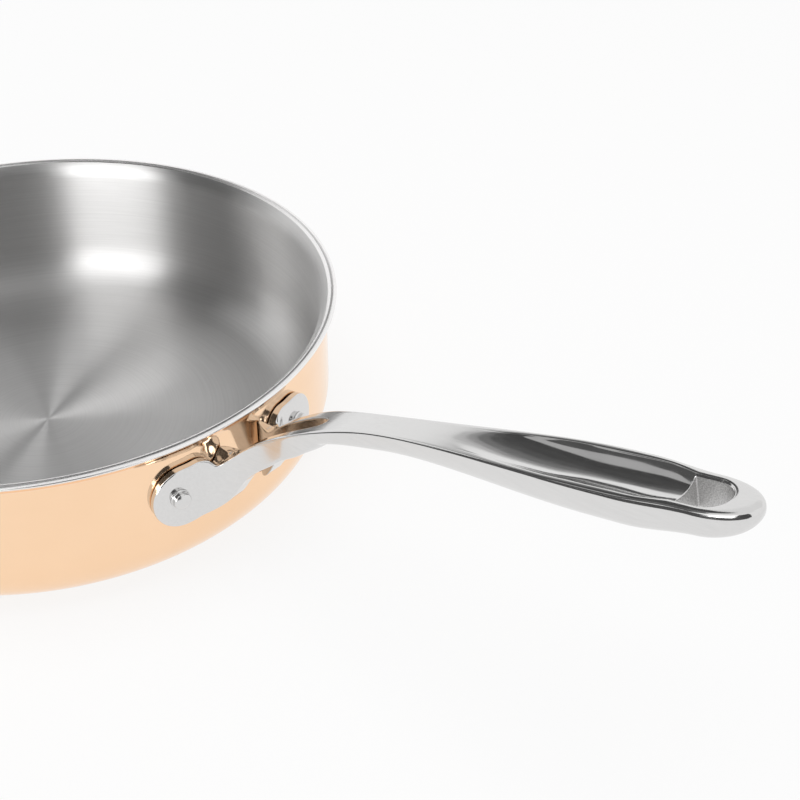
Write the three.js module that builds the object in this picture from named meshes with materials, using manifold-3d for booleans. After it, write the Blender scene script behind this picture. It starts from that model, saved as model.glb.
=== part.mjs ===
// Straight-sided saute pan of bonded copper, aluminium and steel, with a forked cast handle on two rivets.
// Millimetres, +Z up. The origin is the middle of the base, on the worktop. The handle runs along +X.
import * as THREE from 'three';
import { mergeVertices } from 'three/addons/utils/BufferGeometryUtils.js';
import Module from 'manifold-3d';

const wasm = await Module();
wasm.setup();

// Pan sheet: three layers with a thin bond line between each two
const copperThickness = 0.6;
const coreThickness = 1.3;
const liningThickness = 0.5;
const bondLine = 0.05;

// Pan body
const wallRadius = 118.5;
const panHeight = 63.6;
const cornerRadius = 22.5;
const lipRise = 8.1;
const lipFlare = 4.6;
const hemLength = 3;
const rimWidth = 2.4;
const rimSlope = 0.8;
const rimEdge = 0.4;
const rimCrown = 0.1;

// Clearances
const fitGap = 0.25;

// Rivets, one through each ear of the handle
const rivetHeight = 40.6;
const rivetSpread = THREE.MathUtils.degToRad(14.2);
const shankRadius = 3;
const headRadius = 6.5;
const headThickness = 1.8;
const headEdge = 0.7;
const collarLip = 0.7;
const collarThickness = 0.4;
const tailSwell = 0.3;
const tailLength = 1.7;
const domeHeight = 1;

// Ears, the pads of the handle that sit on the wall: round outside, drawn out towards the fork
const earShift = 1.9;
const earDrop = 0.7;
const earRadius = 12.2;
const earThickness = 3;
const earReach = 14;
const earCorner = 8;

// Fork, the two arms between the ears and the neck. Reaches are measured from the wall, along the handle
const armThickness = 4.5;
const armSpread = 14;
const armReach = 28.5;
const armDepth = 20;
const heelSpread = 18.6;
const heelTurn = 13.5;
const webFall = 1.1;
const armEdge = 0.8;
const crotchReach = 42;
const gapTaper = 9;

// Spine, the flat top of the handle seen from the side: one slope at the crown, and a fall away from it on both sides
const crownReach = 96.5;
const crownRise = 57.7;
const crownSlope = THREE.MathUtils.degToRad(16.9);
const forkRun = 83.8;
const forkDrop = 15.1;
const tipRun = 85;
const tipDrop = 3;

// Neck and grip
const neckReach = 66.5;
const neckWidth = 13;
const neckDepth = 8.1;
const crotchDepth = 5.5;
const gripReach = 151.5;
const gripWidth = 24.3;
const gripDepth = 13.3;
const tipReach = 196.6;
const tipWidth = 20.8;
const tipLength = 17;
const tipDepth = 11.8;
const noseDepth = 3;
const gripEdge = 1.3;
const bellyPower = 0.75;

// Thumb scoop in the top of the grip, and the hanging hole at its end
const scoopReach = 95.5;
const scoopRunIn = 20;
const scoopRunOut = 28;
const scoopWidth = 18.8;
const scoopLand = 2.3;
const scoopDepth = 4.4;
const scoopDeepening = 62;
const holeReach = 173.3;
const holeLand = 3.7;
const holeLength = 14;

// Fineness of the facets
const panFacets = 60;
const roundFacets = 28;
const cornerSteps = 5;
const lipSteps = 3;
const sectionSteps = 12;

const sheetThickness = copperThickness + coreThickness + liningThickness + 2 * bondLine;
const innerRadius = wallRadius - sheetThickness;
const earFace = wallRadius + fitGap + earThickness;
const earSpread = rivetSpread - earShift / wallRadius;
const earHeight = rivetHeight - earDrop;
const collarRadius = shankRadius + collarLip;
const tailRadius = shankRadius + tailSwell;
const holeWidth = tipWidth - 2 * holeLand;

// The lip curls out of the wall on an arc that is upright at the bottom
const lipAngle = 2 * Math.atan2(lipFlare, lipRise);
const lipRadius = lipRise / Math.sin(lipAngle);
const lipStart = panHeight - lipRise;
const hemAngle = lipAngle - hemLength / lipRadius;

const { clamp, lerp, smoothstep } = THREE.MathUtils;

// A closed solid of a geometry, with its shared corners merged and its collapsed triangles left out
function toSolid(geometry) {
  const bare = geometry.clone();
  bare.deleteAttribute('normal');
  bare.deleteAttribute('uv');
  const merged = mergeVertices(bare, 1e-4);
  const corners = merged.index.array;
  const kept = [];
  for (let i = 0; i < corners.length; i += 3) {
    const [a, b, c] = corners.slice(i, i + 3);
    if (a !== b && b !== c && c !== a) kept.push(a, b, c);
  }
  return new wasm.Manifold(new wasm.Mesh({
    numProp: 3,
    vertProperties: new Float32Array(merged.attributes.position.array),
    triVerts: new Uint32Array(kept),
  }));
}

function toGeometry(solid) {
  const mesh = solid.getMesh();
  const geometry = new THREE.BufferGeometry();
  geometry.setAttribute('position', new THREE.Float32BufferAttribute(mesh.vertProperties, 3));
  geometry.setIndex(new THREE.Uint32BufferAttribute(mesh.triVerts, 1));
  geometry.computeVertexNormals();
  return geometry;
}

// A turned shape about +Z. The profile holds radius and height, and runs up the outside
function turn(profile, facets) {
  return new THREE.LatheGeometry(profile, facets).rotateX(Math.PI / 2);
}

// Lays a shape on its side, so that its heights become distances from the pan's axis
function layOut(geometry, turned, height) {
  return geometry
    .rotateY(Math.PI / 2)
    .rotateZ(turned)
    .translate(0, 0, height);
}

// A closed skin over rings of points. Seen from the last ring, each ring runs anticlockwise
function loft(rings) {
  const count = rings[0].length;
  const corners = [];
  for (let row = 0; row + 1 < rings.length; row += 1) {
    for (let k = 0; k < count; k += 1) {
      const here = row * count + k;
      const next = row * count + ((k + 1) % count);
      corners.push(here, next, next + count, here, next + count, here + count);
    }
  }
  const last = (rings.length - 1) * count;
  for (let k = 1; k + 1 < count; k += 1) {
    corners.push(0, k + 1, k);
    corners.push(last, last + k, last + k + 1);
  }
  return new THREE.BufferGeometry().setFromPoints(rings.flat()).setIndex(corners);
}

// One line of the sheet, from the middle of the base to the lip, at a depth in from the outside
function sheetLine(depth, endAngle) {
  const line = [new THREE.Vector2(0, depth)];
  for (let i = 0; i <= cornerSteps; i += 1) {
    const turned = (Math.PI / 2) * (i / cornerSteps);
    const reach = cornerRadius - depth;
    line.push(new THREE.Vector2(
      wallRadius - cornerRadius + reach * Math.sin(turned),
      cornerRadius - reach * Math.cos(turned),
    ));
  }
  for (let i = 0; i <= lipSteps; i += 1) {
    line.push(lipPoint(depth, endAngle * (i / lipSteps)));
  }
  return line;
}

function lipPoint(depth, angle) {
  const reach = lipRadius - sheetThickness + depth;
  return new THREE.Vector2(
    innerRadius + lipRadius - reach * Math.cos(angle),
    lipStart + reach * Math.sin(angle),
  );
}

function layerProfile(outerDepth, innerDepth) {
  const endAngle = hemAngle - bondLine / lipRadius;
  return [...sheetLine(outerDepth, endAngle), ...sheetLine(innerDepth, endAngle).reverse()];
}

// The lining turns over the rim as a hem, which hides the cut edges of the two layers under it
function liningProfile() {
  const crest = lipPoint(sheetThickness, lipAngle);
  const rim = [
    lipPoint(0, hemAngle),
    new THREE.Vector2(crest.x + rimWidth - rimEdge, crest.y - 2 * rimSlope),
    new THREE.Vector2(crest.x + rimWidth, crest.y - rimSlope),
    new THREE.Vector2(crest.x + rimWidth / 2, crest.y - rimCrown),
  ];
  return [
    ...sheetLine(sheetThickness - liningThickness, hemAngle),
    ...rim,
    ...sheetLine(sheetThickness, lipAngle).reverse(),
  ];
}

// Height of the handle's top: it climbs steeply out of the ears, less at the crown, and least at the tip
const crownX = wallRadius + crownReach;

function topAt(x) {
  const run = x - crownX;
  const fall = run < 0 ? forkDrop * (-run / forkRun) ** 3 : tipDrop * (run / tipRun) ** 2;
  return earHeight + crownRise + run * Math.tan(crownSlope) - fall;
}

function slopeAt(x) {
  const run = x - crownX;
  const gain = run < 0
    ? (3 * forkDrop * (run / forkRun) ** 2) / forkRun
    : (-2 * tipDrop * run) / tipRun ** 2;
  return Math.atan(Math.tan(crownSlope) + gain);
}

// A point by its distance along the spine, across it, and down from it, square to its slope
function onSpine(x, across, down) {
  const slope = slopeAt(x);
  return new THREE.Vector3(x + down * Math.sin(slope), across, topAt(x) - down * Math.cos(slope));
}

// Plan of the handle: distances from the pan's axis, and half widths
const armX = wallRadius + armReach;
const crotchX = wallRadius + crotchReach;
const neckX = wallRadius + neckReach;
const gripWideX = wallRadius + gripReach;
const tipX = wallRadius + tipReach;
const tipStartX = tipX - tipLength;

function halfWidthAt(x) {
  if (x < neckX) return lerp((armSpread + armThickness) / 2, neckWidth / 2, smoothstep(x, armX, neckX));
  if (x < gripWideX) return lerp(neckWidth, gripWidth, smoothstep(x, neckX, gripWideX)) / 2;
  return lerp(gripWidth, tipWidth, smoothstep(x, gripWideX, tipStartX)) / 2;
}

function depthAt(x) {
  if (x < neckX) return lerp(crotchDepth, neckDepth, smoothstep(x, crotchX, neckX));
  if (x < gripWideX) return lerp(neckDepth, gripDepth, smoothstep(x, neckX, gripWideX));
  return lerp(gripDepth, tipDepth, smoothstep(x, gripWideX, tipStartX));
}

// Half the gap between the arms: parallel for most of their length, then round at the crotch.
// Past the crotch the arms cross the middle a little, so that they join
function halfGapAt(x) {
  const crossing = 1.1;
  const along = clamp((x - crotchX + gapTaper) / gapTaper, 0, crossing);
  return ((armSpread - armThickness) / 2) * (1 - along ** 2);
}

// A section of the grip square to the spine: flat top, eased edges and a round belly
function gripRing(x, halfWidth, depth) {
  const edge = Math.min(gripEdge, halfWidth / 3, depth / 3);
  const ring = [];
  for (let i = 0; i <= sectionSteps; i += 1) {
    const turned = Math.PI * (i / sectionSteps);
    const across = -Math.sign(Math.cos(turned)) * Math.abs(Math.cos(turned)) ** bellyPower;
    ring.push(onSpine(x, halfWidth * across, edge + (depth - edge) * Math.sin(turned) ** bellyPower));
  }
  ring.push(onSpine(x, halfWidth - edge, 0), onSpine(x, edge - halfWidth, 0));
  return ring;
}

function gripSolid() {
  const stations = 15;
  const noseAngles = [0, 30, 55, 72, 83].map(THREE.MathUtils.degToRad);
  const rings = [];
  for (let i = 0; i < stations; i += 1) {
    const x = lerp(crotchX, tipStartX, i / stations);
    rings.push(gripRing(x, halfWidthAt(x), depthAt(x)));
  }
  for (const angle of noseAngles) {
    const x = tipStartX + tipLength * Math.sin(angle);
    rings.push(gripRing(x, (tipWidth / 2) * Math.cos(angle), lerp(noseDepth, tipDepth, Math.cos(angle))));
  }
  return toSolid(loft(rings));
}

// The web of an arm hangs from the spine: deep at the ear, shallow at the neck
function webAt(x) {
  const along = clamp((x - wallRadius) / crotchReach, 0, 1);
  return lerp(crotchDepth, armDepth, (1 - along) ** webFall);
}

// A section of an arm: an upright bar with eased edges between its outer and inner face
function armRing(outer, inner, side) {
  const ease = armEdge / outer.distanceTo(inner);
  const outerEased = outer.clone().lerp(inner, ease);
  const innerEased = inner.clone().lerp(outer, ease);
  const lowest = earHeight - earRadius + armEdge;
  const under = (point, drop) => new THREE.Vector3(point.x, side * point.y, topAt(point.x) - drop);
  const over = (point, rise) => new THREE.Vector3(
    point.x,
    side * point.y,
    Math.max(topAt(point.x) - webAt(point.x), lowest) + rise,
  );
  const ring = [
    over(outerEased, 0),
    over(outer, armEdge),
    under(outer, armEdge),
    under(outerEased, 0),
    under(innerEased, 0),
    under(inner, armEdge),
    over(inner, armEdge),
    over(innerEased, 0),
  ];
  return side > 0 ? ring : ring.reverse();
}

function armSolid(side) {
  const heelSteps = 4;
  const bendSteps = 10;
  const armSteps = 9;
  const rootLength = 6;
  const rings = [];

  // Outside of the bend: it sweeps off the front of the ear, and turns along the handle
  const outward = new THREE.Vector2(Math.cos(earSpread), Math.sin(earSpread));
  const earLine = new THREE.Vector2(outward.y, -outward.x);
  const onEar = (radius, along) => outward.clone().multiplyScalar(radius).addScaledVector(earLine, along);
  const start = shankRadius + fitGap;
  const front = onEar(earFace - fitGap, start);
  const elbow = front.clone().addScaledVector(earLine, (front.y - halfWidthAt(armX)) / outward.x);
  const outside = new THREE.QuadraticBezierCurve(front, elbow, new THREE.Vector2(armX, halfWidthAt(armX)));

  // Inside of the bend: it keeps to the wall as far as the heel, and turns there
  const back = onEar(wallRadius + 2 * fitGap, start);
  const heel = new THREE.Vector2(wallRadius + fitGap, heelSpread / 2);
  const alongWall = new THREE.LineCurve(back, heel);
  const inside = new THREE.QuadraticBezierCurve(
    heel,
    new THREE.Vector2(wallRadius + heelTurn, halfGapAt(armX)),
    new THREE.Vector2(armX, halfGapAt(armX)),
  );
  for (let i = 0; i < bendSteps; i += 1) {
    const inner = i < heelSteps
      ? alongWall.getPoint(i / heelSteps)
      : inside.getPoint((i - heelSteps) / (bendSteps - heelSteps));
    rings.push(armRing(outside.getPoint(i / bendSteps), inner, side));
  }

  // Straight arm, which thickens until the two meet at the crotch and run on into the neck
  for (let i = 0; i <= armSteps; i += 1) {
    const x = lerp(armX, crotchX + rootLength, i / armSteps);
    rings.push(armRing(new THREE.Vector2(x, halfWidthAt(x)), new THREE.Vector2(x, halfGapAt(x)), side));
  }
  return toSolid(loft(rings));
}

// A plain round bar about +Z
function bar(radius, facets, bottom, top) {
  const profile = [
    new THREE.Vector2(0, bottom),
    new THREE.Vector2(radius, bottom),
    new THREE.Vector2(radius, top),
    new THREE.Vector2(0, top),
  ];
  return turn(profile, facets);
}

// An ear. Its outline is drawn by how far along it is towards the fork and how far up, from its middle
function earSolid(side) {
  const outline = new THREE.Shape();
  const at = (along, up) => [-up, -side * along];
  const cornerCentre = [earReach - earCorner, earRadius - earCorner];
  outline.moveTo(...at(0, -earRadius));
  outline.lineTo(...at(cornerCentre[0], -earRadius));
  const facetAngle = (2 * Math.PI) / roundFacets;
  for (let i = 0; i <= roundFacets / 4; i += 1) {
    const along = cornerCentre[0] + earCorner * Math.cos(i * facetAngle);
    const up = cornerCentre[1] + earCorner * Math.sin(i * facetAngle);
    outline.lineTo(...at(along, up));
  }
  for (let i = 0; i < roundFacets / 2; i += 1) {
    const turned = Math.PI / 2 + i * facetAngle;
    outline.lineTo(...at(earRadius * Math.cos(turned), earRadius * Math.sin(turned)));
  }
  outline.closePath();
  const slab = new THREE.ExtrudeGeometry(outline, {
    depth: earFace - innerRadius + earThickness,
    bevelEnabled: false,
  });
  const laidOut = layOut(slab.translate(0, 0, innerRadius), side * earSpread, earHeight);
  const front = toSolid(bar(earFace, panFacets, 0, panHeight));
  return toSolid(laidOut).intersect(front);
}

function boreSolid(side) {
  const bore = bar(shankRadius + fitGap, roundFacets, innerRadius - headThickness, earFace + headThickness);
  return toSolid(layOut(bore, side * rivetSpread, rivetHeight));
}

// Room that the handle leaves round the wall
function wallSolid() {
  return toSolid(bar(wallRadius + fitGap, panFacets, 0, panHeight));
}

// The scoop runs in from a rounded point, deepens towards the tip and closes in round the hole.
// Its rings crowd together at both ends, and stop just short of them, where it has no width
function scoopSolid() {
  const stations = 16;
  const firstRing = 0.04;
  const lastRing = 0.97;
  const headroom = 4;
  const startX = wallRadius + scoopReach;
  const endX = wallRadius + holeReach + holeLength;
  const rings = [];
  for (let i = 0; i <= stations; i += 1) {
    const turned = Math.PI * lerp(firstRing, lastRing, i / stations);
    const x = lerp(startX, endX, (1 - Math.cos(turned)) / 2);
    const runIn = clamp((startX + scoopRunIn - x) / scoopRunIn, 0, 1);
    const runOut = clamp((x - endX + scoopRunOut) / scoopRunOut, 0, 1);
    const room = Math.min(scoopWidth / 2, halfWidthAt(x) - scoopLand);
    const half = room * Math.sqrt((1 - runIn ** 2) * (1 - runOut ** 2));
    const shallow = 1 - clamp((x - startX) / scoopDeepening, 0, 1);
    const depth = scoopDepth * (1 - shallow ** 2) * Math.sqrt(1 - runOut ** 2);
    const ring = [];
    for (let k = 0; k <= sectionSteps; k += 1) {
      const round = Math.PI * (k / sectionSteps);
      const across = -Math.sign(Math.cos(round)) * Math.abs(Math.cos(round)) ** bellyPower;
      ring.push(onSpine(x, half * across, depth * Math.sin(round) ** bellyPower));
    }
    ring.push(onSpine(x, half, -headroom), onSpine(x, -half, -headroom));
    rings.push(ring);
  }
  return toSolid(loft(rings));
}

// The hanging hole is a D: straight across the grip on the pan's side, round at the tip's side. It is drawn flat,
// and turned to lie on the spine at its middle
function holeSolid() {
  const radius = holeWidth / 2;
  const straight = wallRadius + holeReach;
  const centre = straight + holeLength - radius;
  const middle = straight + holeLength / 2;
  const slope = slopeAt(middle);
  const outline = new THREE.Shape();
  outline.moveTo(straight, -radius);
  outline.lineTo(centre, -radius);
  outline.absarc(centre, 0, radius, -Math.PI / 2, Math.PI / 2, false);
  outline.lineTo(straight, radius);
  outline.closePath();
  const geometry = new THREE.ExtrudeGeometry(outline, {
    depth: 2 * gripDepth + gripEdge,
    bevelEnabled: false,
    curveSegments: roundFacets / 2,
  });
  return toSolid(geometry
    .translate(-middle, 0, -2 * gripDepth)
    .scale(1 / Math.cos(slope), 1, 1)
    .rotateY(-slope)
    .translate(middle, 0, topAt(middle)));
}

function handleSolid() {
  return gripSolid()
    .add(armSolid(1))
    .add(armSolid(-1))
    .add(earSolid(1))
    .add(earSolid(-1))
    .subtract(scoopSolid())
    .subtract(holeSolid())
    .subtract(wallSolid())
    .subtract(boreSolid(1))
    .subtract(boreSolid(-1));
}

// A solid rivet: flat head inside the pan, shank through the sheet and the ear, domed tail outside
function rivetGeometry(side) {
  const domeSteps = 4;
  const headSeat = Math.sqrt((innerRadius * Math.cos(Math.PI / panFacets)) ** 2 - headRadius ** 2) - fitGap;
  const tailSeat = earFace + fitGap;
  const tailBase = tailSeat + collarThickness;
  const profile = [
    new THREE.Vector2(0, headSeat - headThickness),
    new THREE.Vector2(headRadius - headThickness, headSeat - headThickness),
    new THREE.Vector2(headRadius - headEdge, headSeat - headThickness + headEdge),
    new THREE.Vector2(headRadius, headSeat),
    new THREE.Vector2(shankRadius, headSeat),
    new THREE.Vector2(shankRadius, tailSeat),
    new THREE.Vector2(collarRadius, tailSeat),
    new THREE.Vector2(collarRadius, tailBase),
    new THREE.Vector2(tailRadius, tailBase),
  ];
  for (let i = 0; i <= domeSteps; i += 1) {
    const turned = (Math.PI / 2) * (i / domeSteps);
    profile.push(new THREE.Vector2(
      tailRadius * Math.cos(turned),
      tailBase + tailLength + domeHeight * Math.sin(turned),
    ));
  }
  return layOut(turn(profile, roundFacets), side * rivetSpread, rivetHeight);
}

// A layer of the sheet with its two rivet holes
function layerGeometry(profile) {
  const layer = toSolid(turn(profile, panFacets));
  return toGeometry(layer.subtract(boreSolid(1)).subtract(boreSolid(-1)));
}

function piece(name, geometry, color, roughness) {
  const material = new THREE.MeshStandardMaterial({ color, roughness, metalness: 1 });
  const mesh = new THREE.Mesh(geometry, material);
  mesh.name = name;
  return mesh;
}

const coreOuter = copperThickness + bondLine;
const coreInner = coreOuter + coreThickness;

const pan = new THREE.Group();
pan.add(
  piece('copper_skin', layerGeometry(layerProfile(0, copperThickness)), 0xf0b088, 0.12),
  piece('aluminium_core', layerGeometry(layerProfile(coreOuter, coreInner)), 0xc9ccce, 0.4),
  piece('steel_lining', layerGeometry(liningProfile()), 0xc4c5c4, 0.28),
  piece('handle', toGeometry(handleSolid()), 0xcfd0cf, 0.16),
  piece('rivet_left', rivetGeometry(1), 0xd0d1d0, 0.22),
  piece('rivet_right', rivetGeometry(-1), 0xd0d1d0, 0.22),
);

export default pan;
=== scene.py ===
# %% [markdown]
# # A copper saute pan with a forked handle
# The real pan is one round of bonded sheet, copper outside and steel inside, and one long steel casting riveted to it. The
# CAD model already has every piece in its place, but with flat facets and no finish. This lesson rebuilds each visible piece
# as a fine mesh in the same frame, in metres, gives it a finish made from nodes, and lights it like a catalogue photo.

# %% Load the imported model
import math

import bmesh
import bpy
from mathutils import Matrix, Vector


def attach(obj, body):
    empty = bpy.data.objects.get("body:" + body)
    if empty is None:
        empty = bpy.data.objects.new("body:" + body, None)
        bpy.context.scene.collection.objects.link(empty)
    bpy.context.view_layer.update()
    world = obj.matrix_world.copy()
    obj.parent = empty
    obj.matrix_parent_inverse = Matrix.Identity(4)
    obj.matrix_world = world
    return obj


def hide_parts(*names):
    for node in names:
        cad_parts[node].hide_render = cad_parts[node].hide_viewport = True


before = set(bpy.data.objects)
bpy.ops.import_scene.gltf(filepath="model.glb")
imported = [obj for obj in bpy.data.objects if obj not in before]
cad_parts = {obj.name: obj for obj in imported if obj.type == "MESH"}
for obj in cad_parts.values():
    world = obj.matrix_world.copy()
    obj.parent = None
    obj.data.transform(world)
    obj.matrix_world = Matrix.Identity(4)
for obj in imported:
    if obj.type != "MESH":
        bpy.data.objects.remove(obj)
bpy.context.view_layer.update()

# %% [markdown]
# ## The camera
# The photo looks down on the pan from the handle's side, and cuts off the left of the pan. The place, the direction and the
# lens were fitted to the ellipses of the rim and the base. The camera comes first, so that every later step can be compared
# with the photo.

# %% Set the camera
scene = bpy.context.scene
scene.view_settings.view_transform = "Standard"

camera_data = bpy.data.cameras.new("photo_camera")
camera_data.lens = 64.2
camera_data.sensor_width = 36
camera = bpy.data.objects.new("photo_camera", camera_data)
camera.location = (0.42459, -0.27566, 0.35921)
line_of_sight = Vector((-0.5224, 0.6226, -0.5827))
camera.rotation_euler = line_of_sight.to_track_quat("-Z", "Y").to_euler()
scene.collection.objects.link(camera)
scene.camera = camera
print("camera stands", round(camera.location.length, 3), "m from the middle of the base")

# %% [markdown]
# ## Meshes from points
# Every piece here is drawn in millimetres, as on a workshop drawing, and becomes a Blender mesh in metres. One helper does
# that for all of them: it takes points and faces, joins what lies in the same place, and turns every face outwards. A bmesh
# is used because it can weld, mirror and turn faces before the mesh is ever shown.

# %% Helper that makes a piece
MM = 0.001
WELD = 1e-7


def make_piece(name, points, faces, mirrored=False):
    grid = bmesh.new()
    corners = [grid.verts.new((x * MM, y * MM, z * MM)) for x, y, z in points]
    for face, finish_number in faces:
        made = grid.faces.new([corners[k] for k in face])
        made.material_index = finish_number
        made.smooth = True
    if mirrored:
        everything = grid.verts[:] + grid.edges[:] + grid.faces[:]
        bmesh.ops.mirror(grid, geom=everything, axis="Y", merge_dist=WELD)
    bmesh.ops.remove_doubles(grid, verts=grid.verts[:], dist=WELD)
    bmesh.ops.recalc_face_normals(grid, faces=grid.faces[:])
    open_edges = sum(1 for edge in grid.edges if len(edge.link_faces) != 2)
    mesh = bpy.data.meshes.new(name)
    grid.to_mesh(mesh)
    grid.free()
    piece = bpy.data.objects.new(name, mesh)
    scene.collection.objects.link(piece)
    print(name, "has", len(mesh.polygons), "faces and", open_edges, "open edges")
    return piece


# %% [markdown]
# Shapes here change little by little from one section to the next. So one more helper goes a share of the way between two
# values, and one climbs from 0 to 1 with a soft start and a soft end.

# %% Helpers that blend
def blend_between(first, second, share):
    return first + (second - first) * share


def clamped(share):
    return min(max(share, 0), 1)


def ease(value, start, end):
    share = clamped((value - start) / (end - start))
    return share * share * (3 - 2 * share)


print("a soft climb has reached", ease(0.25, 0, 1), "at a quarter of its way")

# %% [markdown]
# ## The turned sheet
# The pan is spun or pressed from a disc, so its skin and its lining are both round about the upright axis. A profile of
# radius and height is enough: it is turned in many small steps. Blender's Screw modifier could do that too, but a mesh made
# in code keeps single points on the axis, and can give the rows of the rim a finish of their own.

# %% Helper that turns a profile
ON_AXIS = 1e-6
turn_steps = 240


def turned_grid(profile, steps, place, rim_rows=()):
    points, faces, rings = [], [], []
    for radius, height in profile:
        ring = []
        for k in range(steps if radius > ON_AXIS else 1):
            angle = 2 * math.pi * k / steps
            points.append(place(radius * math.cos(angle), radius * math.sin(angle), height))
            ring.append(len(points) - 1)
        rings.append(ring)
    for row, (lower, upper) in enumerate(zip(rings, rings[1:])):
        if len(lower) == 1 and len(upper) == 1:
            continue
        finish_number = 1 if row in rim_rows else 0
        for k in range(steps):
            after = (k + 1) % steps
            face = [lower[k % len(lower)], lower[after % len(lower)],
                    upper[after % len(upper)], upper[k % len(upper)]]
            faces.append((list(dict.fromkeys(face)), finish_number))
    return points, faces


def upright(x, y, z):
    return x, y, z


print("one step of a turn is", 360 / turn_steps, "degrees")

# %% [markdown]
# The sheet has a flat base, a wide fillet, an upright wall and a lip that curls outwards, so that food pours without
# dripping. Each layer follows the same line at its own depth. Here the arcs have many more steps than in the CAD model.

# %% Lines of the sheet
wall_radius = 118.5
pan_height = 63.6
corner_radius = 22.5
lip_rise, lip_flare = 8.1, 4.6
copper_thickness, core_thickness, lining_thickness, bond_line = 0.6, 1.3, 0.5, 0.05
sheet_thickness = copper_thickness + core_thickness + lining_thickness + 2 * bond_line
inner_radius = wall_radius - sheet_thickness
lip_angle = 2 * math.atan2(lip_flare, lip_rise)
lip_radius = lip_rise / math.sin(lip_angle)
lip_start = pan_height - lip_rise


def lip_point(depth, angle):
    reach = lip_radius - sheet_thickness + depth
    return inner_radius + lip_radius - reach * math.cos(angle), lip_start + reach * math.sin(angle)


def sheet_line(depth, end_angle):
    base_steps, corner_steps, wall_steps, lip_steps = 16, 18, 6, 10
    base_radius = wall_radius - corner_radius
    line = [(base_radius * k / base_steps, depth) for k in range(base_steps)]
    for k in range(corner_steps + 1):
        turned = math.pi / 2 * k / corner_steps
        reach = corner_radius - depth
        line.append((base_radius + reach * math.sin(turned), corner_radius - reach * math.cos(turned)))
    for k in range(1, wall_steps):
        line.append((wall_radius - depth, blend_between(corner_radius, lip_start, k / wall_steps)))
    for k in range(lip_steps + 1):
        line.append(lip_point(depth, end_angle * k / lip_steps))
    return line


# Each round of cutting the corners of a line makes it rounder
def rounded_line(line, rounds):
    for _ in range(rounds):
        softer = [line[0]]
        for (r0, z0), (r1, z1) in zip(line, line[1:]):
            for share in (0.25, 0.75):
                softer.append((blend_between(r0, r1, share), blend_between(z0, z1, share)))
        line = softer + [line[-1]]
    return line


print("inside of the wall", inner_radius, "mm, lip turned out by", round(math.degrees(lip_angle)), "degrees")

# %% [markdown]
# ## The copper skin and the steel lining
# The lining is the layer that meets the food. At the rim it turns over the edge as a bright hem, which hides the cut edges of
# the copper and of the aluminium core between them. The rim's section is drawn with a few corners and then rounded.

# %% Turn the skin and the lining
hem_length, hem_rounds = 3, 3
hem_angle = lip_angle - hem_length / lip_radius
skin_end = hem_angle - bond_line / lip_radius
skin_outside = sheet_line(0, skin_end)
skin_inside = sheet_line(copper_thickness, skin_end)
copper_skin = make_piece("copper_skin_fine", *turned_grid(skin_outside + skin_inside[::-1], turn_steps, upright))

rim_width, rim_slope, rim_edge, rim_crown = 2.4, 0.8, 0.4, 0.1
rim_start = lip_angle * 0.93
crest_r, crest_z = lip_point(sheet_thickness, lip_angle)
rim_corners = [
    lip_point(0, hem_angle),
    (crest_r + rim_width - rim_edge, crest_z - 2 * rim_slope),
    (crest_r + rim_width, crest_z - rim_slope),
    (crest_r + rim_width / 2, crest_z - rim_crown),
    (crest_r, crest_z),
    lip_point(sheet_thickness, rim_start),
]
lining_outside = sheet_line(sheet_thickness - lining_thickness, hem_angle)
lining_inside = sheet_line(sheet_thickness, rim_start)
hem = rounded_line(rim_corners, hem_rounds)
lining_profile = lining_outside + hem + lining_inside[-2::-1]
rim_rows = range(len(lining_outside) - 1, len(lining_outside) + len(hem))
steel_lining = make_piece("steel_lining_fine", *turned_grid(lining_profile, turn_steps, upright, rim_rows))

# %% [markdown]
# ## The rivets
# Two solid rivets hold the handle. Inside the pan they have low flat heads. Outside, the tail is set down on the ear as a
# short stub with an eased edge and a narrow collar. They are turned like the pan, and then laid on their side, so that
# their heights become distances from the pan's axis.

# %% Turn the rivets
rivet_height, rivet_spread, rivet_rounds, rivet_steps = 40.6, math.radians(14.2), 2, 48
ear_thickness, fit_gap, wall_gap = 3, 0.25, 0.02
ear_face = wall_radius + fit_gap + ear_thickness
shank_radius, head_fillet, tail_fillet = 3, 0.5, 0.4
head_radius, head_thickness, head_side = 6.5, 1.8, 0.5
head_bevel, head_edge, head_drop = 2.2, 0.7, 0.4
collar_radius, collar_thickness, collar_fillet = 3.7, 0.4, 0.1
tail_radius, tail_length, tail_foot, dome_height = 3.3, 1.7, 0.5, 1
# Steps over the tail's end: in from its side, and down from its end
tail_dome = ((0, 1.3), (0.1, 1), (0.6, 0.6), (1.5, 0.22), (2.5, 0))


def rivet_profile():
    head_seat = math.sqrt(inner_radius ** 2 - head_radius ** 2) - fit_gap
    head_top = head_seat - head_thickness
    collar_seat = ear_face + wall_gap
    collar_top = collar_seat + collar_thickness
    tail_end = ear_face + fit_gap + collar_thickness + tail_length + dome_height
    head = [
        (0, head_top),
        (head_radius - head_bevel, head_top),
        (head_radius - head_edge, head_top + head_drop),
        (head_radius, head_seat - head_side),
        (head_radius, head_seat),
        (shank_radius + head_fillet, head_seat),
    ]
    tail = [
        (shank_radius + tail_fillet, collar_seat),
        (collar_radius, collar_seat),
        (collar_radius, collar_top),
        (tail_radius + collar_fillet, collar_top + collar_fillet),
        (tail_radius, collar_top + tail_foot),
    ]
    tail += [(tail_radius - inwards, tail_end - down) for inwards, down in tail_dome] + [(0, tail_end)]
    shank = [(shank_radius, head_seat), (shank_radius, collar_seat)]
    return rounded_line(head, rivet_rounds) + shank + rounded_line(tail, rivet_rounds)


def laid_on_wall(side):
    along, across = math.cos(side * rivet_spread), math.sin(side * rivet_spread)

    def place(x, y, z):
        return z * along - y * across, z * across + y * along, rivet_height - x

    return turned_grid(rivet_profile(), rivet_steps, place)


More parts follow.
